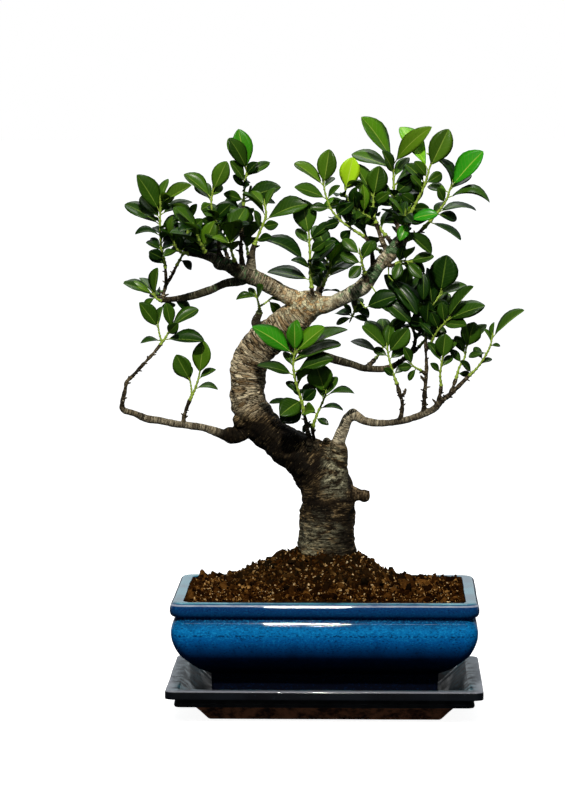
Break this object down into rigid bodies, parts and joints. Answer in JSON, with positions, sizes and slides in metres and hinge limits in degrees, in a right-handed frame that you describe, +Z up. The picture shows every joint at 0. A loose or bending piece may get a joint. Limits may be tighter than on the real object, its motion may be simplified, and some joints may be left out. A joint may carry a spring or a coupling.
{
  "type": "ficus bonsai",
  "caption": "Small-leaved fig grown as a bonsai: S-curved trunk with grafted leafy limbs, standing in a glazed rectangular pot of soil on a stepped drip tray.",
  "frame": {"origin": "on the surface that the tray stands on, in the middle of the tray and pot, under the trunk's base", "axes": "+Z up, +X to the right as seen from the front, -Y towards the viewer of the front"},
  "size_m": [0.321, 0.194, 0.4733],
  "materials": {
    "tray_glaze": "dark blue-black gloss glaze, brown clay where it thins",
    "pot_glaze": "mottled blue gloss glaze, darker in the hollows",
    "mesh_plastic": "matt",
    "soil": "loose brown crumbs, matt",
    "bark": "grey-brown bark with pale pores and cross wrinkles",
    "leaf": "waxy green, paler midrib"
  },
  "bodies": {
    "root": {"tray": "tray_glaze", "pot": "pot_glaze", "drain_mesh_left": "mesh_plastic", "drain_mesh_right": "mesh_plastic", "soil": "soil", "wood": "bark", "spray_leftLimb": "leaf", "spray_leftLow": "leaf", "spray_leftLowTwig": "leaf", "spray_leftDark": "leaf", "spray_leftDarkFork": "leaf", "spray_leftDarkEnd": "leaf", "spray_leftUpright": "leaf", "spray_leftHigh": "leaf", "spray_leftStub": "leaf", "spray_leftFrontOuter": "leaf", "spray_leftBackInner": "leaf", "spray_leftBackOuter": "leaf", "spray_leftFrontInner": "leaf", "spray_leftFarBack": "leaf", "spray_stubTwig": "leaf", "spray_centreFront": "leaf", "spray_centreBack": "leaf", "spray_centreMiddle": "leaf", "spray_rightFront": "leaf", "spray_underRight": "leaf", "spray_topLeft": "leaf", "spray_topMiddle": "leaf", "spray_topHigh": "leaf", "spray_topRight": "leaf", "spray_topFarRight": "leaf", "spray_topBackOuter": "leaf", "spray_topBackInner": "leaf", "spray_topFront": "leaf", "spray_backLimb": "leaf", "spray_backLimbInner": "leaf", "spray_rightFrontLow": "leaf", "spray_rightLow": "leaf", "spray_rightTwigInner": "leaf", "spray_rightTwigMiddle": "leaf", "spray_rightTwigSide": "leaf", "spray_rightTwigOuter": "leaf", "spray_rightTwigEnd": "leaf", "spray_middleBack": "leaf", "spray_middleUpper": "leaf", "spray_middleOuter": "leaf", "spray_middleFar": "leaf", "spray_rightSpray": "leaf", "spray_front": "leaf", "spray_frontSide": "leaf"}
  },
  "joints": []
}
